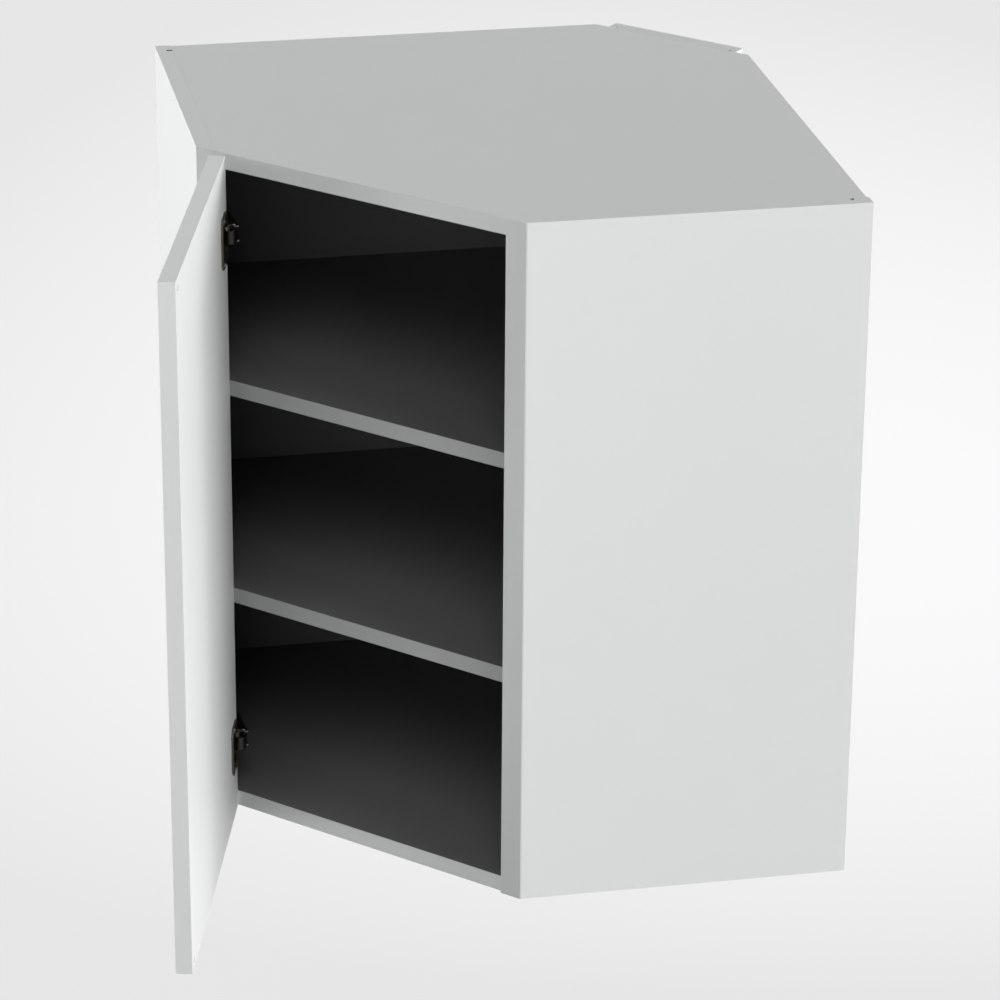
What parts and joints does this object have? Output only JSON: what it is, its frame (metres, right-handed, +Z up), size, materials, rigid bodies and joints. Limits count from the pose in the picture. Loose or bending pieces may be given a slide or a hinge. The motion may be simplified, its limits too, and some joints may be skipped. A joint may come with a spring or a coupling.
{
  "type": "corner wall cabinet",
  "caption": "Diagonal corner wall cabinet with a clipped rear corner, loose shelves and one flat door that swings and travels on concealed hinges.",
  "frame": {"origin": "the corner line of the two walls, level with the lower ends of the side panels", "axes": "+Z up; +Y square to the back wall, towards it; +X square to the right wall, towards it"},
  "size_m": [0.681, 0.6927, 0.704],
  "materials": {
    "white_board": "satin melamine",
    "dark_board": "satin melamine",
    "white_edge": "satin",
    "grey_edge": "satin",
    "dark_steel": "satin dark nickel plate",
    "bright_steel": "nickel plated",
    "zinc": "cast zinc",
    "dowel_wood": "plain beech",
    "white_plastic": "moulded",
    "clear_rubber": "soft, milky"
  },
  "bodies": {
    "carcass": {"left_side_panel": "white_board", "right_side_panel": "white_board", "top_panel": "white_board", "bottom_panel": "white_board", "corner_board": "white_board", "back_board_left": "dark_board", "back_board_right": "dark_board", "upper_shelf": "dark_board", "lower_shelf": "dark_board", "upper_shelf_band": "grey_edge", "lower_shelf_band": "grey_edge", "side_bands": "white_edge", "top_band": "white_edge", "bottom_band": "white_edge", "shelf_pins": "bright_steel", "cam_housings": "zinc", "cam_bolts": "bright_steel", "dowels": "dowel_wood", "left_hanger": "white_plastic", "right_hanger": "white_plastic", "left_hanger_hook": "bright_steel", "right_hanger_hook": "bright_steel", "hanger_screws": "bright_steel", "upper_mounting_plate": "dark_steel", "lower_mounting_plate": "dark_steel", "upper_hinge_arm": "dark_steel", "lower_hinge_arm": "dark_steel", "mounting_plate_screws": "bright_steel", "hinge_arm_screws": "bright_steel", "hinge_arm_pins": "bright_steel"},
    "hinge_links": {"upper_hinge_link": "dark_steel", "lower_hinge_link": "dark_steel"},
    "door": {"door_panel": "white_board", "door_side_bands": "white_edge", "door_end_bands": "white_edge", "upper_hinge_cup": "dark_steel", "lower_hinge_cup": "dark_steel", "hinge_cup_pins": "bright_steel", "hinge_cup_screws": "bright_steel", "door_bumpers": "clear_rubber"}
  },
  "joints": [
    {"name": "hinge_link_turn", "type": "hinge", "parent": "carcass", "child": "hinge_links", "pos_m": [-0.568, -0.357, 0.352], "axis": [0, 0, -1], "range_deg": [-23.22, 39.76]},
    {"name": "door_swing", "type": "hinge", "parent": "hinge_links", "child": "door", "pos_m": [-0.58255, -0.36567, 0.352], "axis": [0, 0, -1], "range_deg": [-99.7, 58.16]}
  ],
  "couplings": [
    {"joint": "hinge_link_turn", "follows": "door_swing", "ratio": -0.39821}
  ]
}
